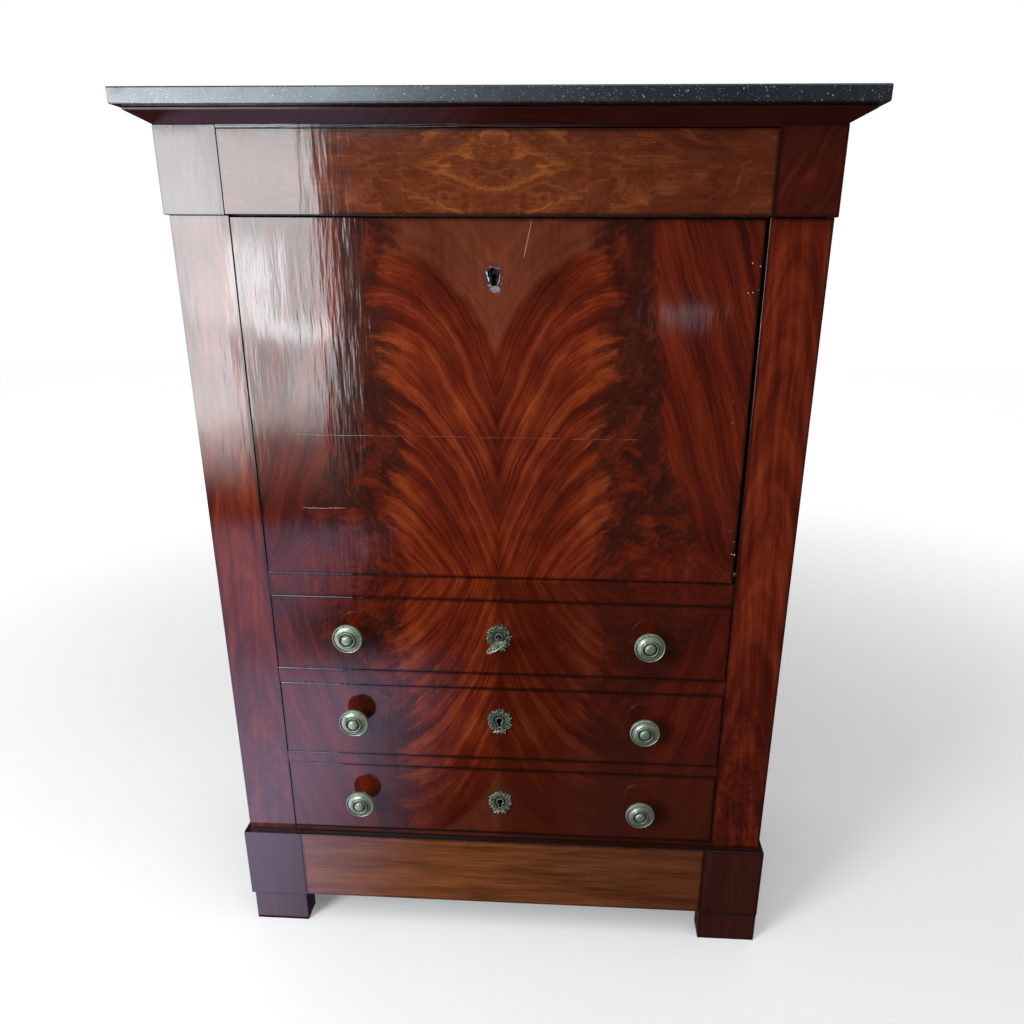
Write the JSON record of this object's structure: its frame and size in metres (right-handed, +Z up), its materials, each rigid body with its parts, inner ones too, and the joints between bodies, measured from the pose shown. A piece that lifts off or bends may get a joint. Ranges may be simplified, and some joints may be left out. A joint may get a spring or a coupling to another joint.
{
  "type": "secretary desk",
  "caption": "Fall-front secretary desk: drop-down writing panel over pigeonholes, frieze drawer, stacked drawers, square feet and a stone slab top.",
  "frame": {"origin": "on the floor, at the middle of the whole object's box in X and Y", "axes": "+Z up, the front with its drawers and fall faces -Y, +X to the right as seen from the front"},
  "size_m": [1.014, 0.454, 1.42],
  "materials": {
    "mahogany": "french-polished flame mahogany veneer",
    "dark_mahogany": "dark polished mahogany, worn",
    "golden_mahogany": "faded straight-grained mahogany",
    "oak": "raw aged oak",
    "maple": "waxed light veneer",
    "marble": "polished black fossil stone with pale flecks",
    "brass": "old brass with a dull greenish patina",
    "steel": "old dark steel",
    "leather": "worn brown writing leather"
  },
  "bodies": {
    "carcass": {"marble_top": "marble", "cornice_moulding": "dark_mahogany", "case_top_board": "dark_mahogany", "pilaster_left": "mahogany", "frieze_block_left": "mahogany", "case_side_left": "mahogany", "plinth_block_left": "dark_mahogany", "plinth_side_left": "dark_mahogany", "foot_front_left": "dark_mahogany", "foot_rear_left": "dark_mahogany", "pilaster_right": "mahogany", "frieze_block_right": "mahogany", "case_side_right": "mahogany", "plinth_block_right": "dark_mahogany", "plinth_side_right": "dark_mahogany", "foot_front_right": "dark_mahogany", "foot_rear_right": "dark_mahogany", "back_panel": "oak", "frieze_rail": "oak", "desk_board": "mahogany", "rail_under_fall": "mahogany", "drawer_rail_upper": "mahogany", "drawer_rail_lower": "mahogany", "bottom_board": "mahogany", "plinth_skirt": "golden_mahogany", "pigeonhole_unit": "maple"},
    "fall": {"fall_panel": "mahogany", "writing_leather": "leather", "fall_lock": "steel", "fall_quadrant_left": "brass", "fall_quadrant_right": "brass"},
    "fall_bolt": {"fall_lock_bolt": "steel"},
    "frieze_drawer": {"frieze_drawer_front": "mahogany", "frieze_drawer_box": "oak"},
    "small_drawer_left": {"small_drawer_left": "maple", "small_drawer_left_knob": "brass"},
    "small_drawer_right": {"small_drawer_right": "maple", "small_drawer_right_knob": "brass"},
    "key": {"drawer_upper_key": "steel"},
    "drawer_lower": {"drawer_lower_front": "mahogany", "drawer_lower_box": "oak", "drawer_lower_knob_left": "brass", "drawer_lower_knob_right": "brass", "drawer_lower_escutcheon": "brass", "drawer_lower_lock": "steel"},
    "drawer_lower_bolt": {"drawer_lower_bolt": "steel"},
    "drawer_middle": {"drawer_middle_front": "mahogany", "drawer_middle_box": "oak", "drawer_middle_knob_left": "brass", "drawer_middle_knob_right": "brass", "drawer_middle_escutcheon": "brass", "drawer_middle_lock": "steel"},
    "drawer_middle_bolt": {"drawer_middle_bolt": "steel"},
    "drawer_upper": {"drawer_upper_front": "mahogany", "drawer_upper_box": "oak", "drawer_upper_knob_left": "brass", "drawer_upper_knob_right": "brass", "drawer_upper_escutcheon": "brass", "drawer_upper_lock": "steel"},
    "drawer_upper_bolt": {"drawer_upper_bolt": "steel"}
  },
  "joints": [
    {"name": "fall_hinge", "type": "hinge", "parent": "carcass", "child": "fall", "pos_m": [0, -0.161, 0.7283], "axis": [1, 0, 0], "range_deg": [0, 90]},
    {"name": "fall_bolt_slide", "type": "slide", "parent": "fall", "child": "fall_bolt", "axis": [0, 0, 1], "range_m": [0, 0.009]},
    {"name": "frieze_drawer_slide", "type": "slide", "parent": "carcass", "child": "frieze_drawer", "axis": [0, -1, 0], "range_m": [0, 0.28]},
    {"name": "drawer_upper_slide", "type": "slide", "parent": "carcass", "child": "drawer_upper", "axis": [0, -1, 0], "range_m": [0, 0.28]},
    {"name": "drawer_middle_slide", "type": "slide", "parent": "carcass", "child": "drawer_middle", "axis": [0, -1, 0], "range_m": [0, 0.28]},
    {"name": "drawer_lower_slide", "type": "slide", "parent": "carcass", "child": "drawer_lower", "axis": [0, -1, 0], "range_m": [0, 0.28]},
    {"name": "drawer_middle_bolt_slide", "type": "slide", "parent": "drawer_middle", "child": "drawer_middle_bolt", "axis": [0, 0, 1], "range_m": [0, 0.007]},
    {"name": "drawer_lower_bolt_slide", "type": "slide", "parent": "drawer_lower", "child": "drawer_lower_bolt", "axis": [0, 0, 1], "range_m": [0, 0.007]},
    {"name": "key_turn", "type": "hinge", "parent": "drawer_upper", "child": "key", "pos_m": [0, -0.173, 0.6095], "axis": [0, 1, 0], "range_deg": [0, 180.5]},
    {"name": "drawer_upper_bolt_slide", "type": "slide", "parent": "drawer_upper", "child": "drawer_upper_bolt", "axis": [0, 0, 1], "range_m": [0, 0.007]},
    {"name": "small_drawer_left_slide", "type": "slide", "parent": "carcass", "child": "small_drawer_left", "axis": [0, -1, 0], "range_m": [0, 0.085]},
    {"name": "small_drawer_right_slide", "type": "slide", "parent": "carcass", "child": "small_drawer_right", "axis": [0, -1, 0], "range_m": [0, 0.085]}
  ],
  "couplings": [
    {"joint": "key_turn", "follows": "drawer_upper_bolt_slide", "rad_per_m": 448.8}
  ]
}
